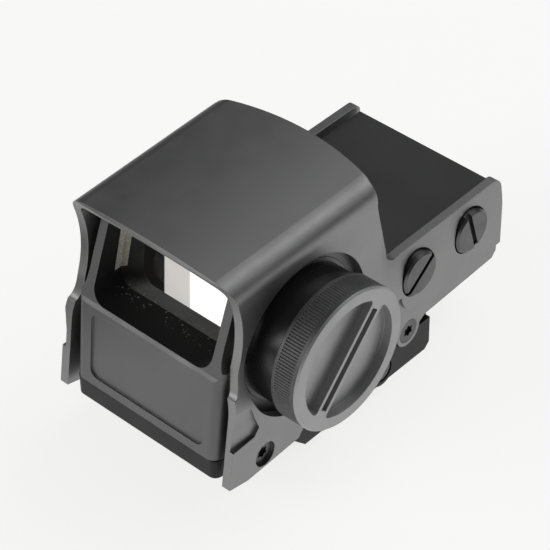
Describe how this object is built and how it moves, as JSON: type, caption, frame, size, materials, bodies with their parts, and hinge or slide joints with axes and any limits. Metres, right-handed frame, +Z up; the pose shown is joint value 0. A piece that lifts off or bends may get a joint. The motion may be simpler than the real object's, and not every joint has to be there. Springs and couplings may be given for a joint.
{
  "type": "red dot sight",
  "caption": "Hooded reflex sight that clamps on a dovetail rail, with a side battery cap, two slotted adjusters and rear brightness buttons.",
  "frame": {"origin": "middle of the seat that rests on the rail's top face", "axes": "+Z up from the rail; +Y from the front window towards the eye; +X towards the battery cap"},
  "size_m": [0.0627, 0.0972, 0.064],
  "materials": {
    "anodised_black": "satin hard-anodised",
    "housing_black": "matt hard-anodised",
    "clamp_black": "satin anodised",
    "cap_black": "satin anodised, turned",
    "collar_black": "gloss anodised",
    "steel_black": "black oxide",
    "steel_bright": "bright",
    "brass": "machined",
    "lens_glass": "partly reflecting coating",
    "window_glass": "clear coated",
    "rubber": "matt",
    "board_green": "solder mask",
    "chip_black": "moulded",
    "cell_steel": "nickel-plated",
    "sealant": "matt, pale",
    "insulator": "moulded",
    "emitter_red": "clear red",
    "stage_metal": "machined"
  },
  "bodies": {
    "sight": {"hood": "anodised_black", "inner_housing": "housing_black", "base_plate": "clamp_black", "deck_cover": "anodised_black", "rear_cover": "housing_black", "rear_gasket": "rubber", "side_screws": "steel_black", "base_screws": "steel_black", "rear_cover_screws": "steel_black", "reflector_lens": "lens_glass", "lens_retainer": "housing_black", "lens_bond": "sealant", "rear_window": "window_glass", "rear_window_gasket": "rubber", "battery_collar": "collar_black", "collar_screws": "steel_black", "coin_cell": "cell_steel", "cell_insulator": "insulator", "battery_contact": "brass", "battery_strip": "brass", "circuit_board": "board_green", "board_components": "chip_black", "board_screws": "steel_bright", "button_board": "board_green", "tact_switches": "chip_black", "return_leaf": "steel_bright", "stage_pins": "steel_bright", "stage_springs": "steel_bright"},
    "cap_carrier": {"cap_o_ring": "rubber"},
    "cap": {"battery_cap": "cap_black", "cap_contact_plate": "steel_bright", "cap_spring": "steel_bright"},
    "windage_adjuster": {"windage_screw": "steel_black", "windage_clip": "steel_bright", "windage_o_ring": "rubber"},
    "windage_nut": {"windage_tappet": "brass"},
    "elevation_adjuster": {"elevation_screw": "steel_black", "elevation_clip": "steel_bright", "elevation_o_ring": "rubber"},
    "elevation_nut": {"elevation_wedge": "brass"},
    "lift_stage": {"elevation_stage": "stage_metal"},
    "cross_stage": {"windage_stage": "stage_metal", "led_emitter": "emitter_red"},
    "jaw": {"movable_jaw": "clamp_black"},
    "front_bolt": {"clamp_bolt_front": "steel_black"},
    "rear_bolt": {"clamp_bolt_rear": "steel_black"},
    "up_key": {"up_button": "rubber"},
    "down_key": {"down_button": "rubber"}
  },
  "joints": [
    {"name": "cap_travel", "type": "slide", "parent": "sight", "child": "cap_carrier", "axis": [1, 0, 0], "range_m": [0, 0.004]},
    {"name": "cap_turn", "type": "hinge", "parent": "cap_carrier", "child": "cap", "pos_m": [0.03, -0.0207, 0.0286], "axis": [1, 0, 0], "range_deg": [0, 1441]},
    {"name": "windage_nut_slide", "type": "slide", "parent": "sight", "child": "windage_nut", "axis": [1, 0, 0], "range_m": [-0.00075, 0.00075]},
    {"name": "windage_turn", "type": "hinge", "parent": "sight", "child": "windage_adjuster", "pos_m": [0.02, 0.0175, 0.0209], "axis": [1, 0, 0], "range_deg": [-541, 541]},
    {"name": "cross_slide", "type": "slide", "parent": "lift_stage", "child": "cross_stage", "axis": [1, 0, 0], "range_m": [-0.00076, 0.00076]},
    {"name": "elevation_nut_slide", "type": "slide", "parent": "sight", "child": "elevation_nut", "axis": [1, 0, 0], "range_m": [-0.002, 0.002]},
    {"name": "elevation_turn", "type": "hinge", "parent": "sight", "child": "elevation_adjuster", "pos_m": [0.02, 0.0367, 0.0209], "axis": [1, 0, 0], "range_deg": [-1441, 1441]},
    {"name": "lift_slide", "type": "slide", "parent": "sight", "child": "lift_stage", "axis": [0, 0, 1], "range_m": [-0.00051, 0.00051], "deforming": ["stage_springs"]},
    {"name": "jaw_slide", "type": "slide", "parent": "sight", "child": "jaw", "axis": [-1, 0, 0], "range_m": [0, 0.003]},
    {"name": "front_bolt_turn", "type": "hinge", "parent": "sight", "child": "front_bolt", "pos_m": [0, -0.0135, -0.001], "axis": [1, 0, 0], "range_deg": [0, 1544]},
    {"name": "rear_bolt_turn", "type": "hinge", "parent": "sight", "child": "rear_bolt", "pos_m": [0, 0.0055, -0.001], "axis": [1, 0, 0], "range_deg": [0, 1544]},
    {"name": "up_press", "type": "slide", "parent": "sight", "child": "up_key", "axis": [0, -1, 0], "range_m": [0, 0.0006], "stiffness_N_per_m": 3000},
    {"name": "down_press", "type": "slide", "parent": "sight", "child": "down_key", "axis": [0, -1, 0], "range_m": [0, 0.0006], "stiffness_N_per_m": 3000}
  ],
  "couplings": [
    {"joint": "cap_turn", "follows": "cap_travel", "rad_per_m": 6283.2},
    {"joint": "windage_turn", "follows": "windage_nut_slide", "rad_per_m": -12566},
    {"joint": "cross_slide", "follows": "windage_nut_slide", "ratio": 1},
    {"joint": "elevation_turn", "follows": "elevation_nut_slide", "rad_per_m": -12566},
    {"joint": "lift_slide", "follows": "elevation_nut_slide", "ratio": -0.25},
    {"joint": "front_bolt_turn", "follows": "jaw_slide", "rad_per_m": 8976},
    {"joint": "rear_bolt_turn", "follows": "jaw_slide", "rad_per_m": 8976}
  ]
}
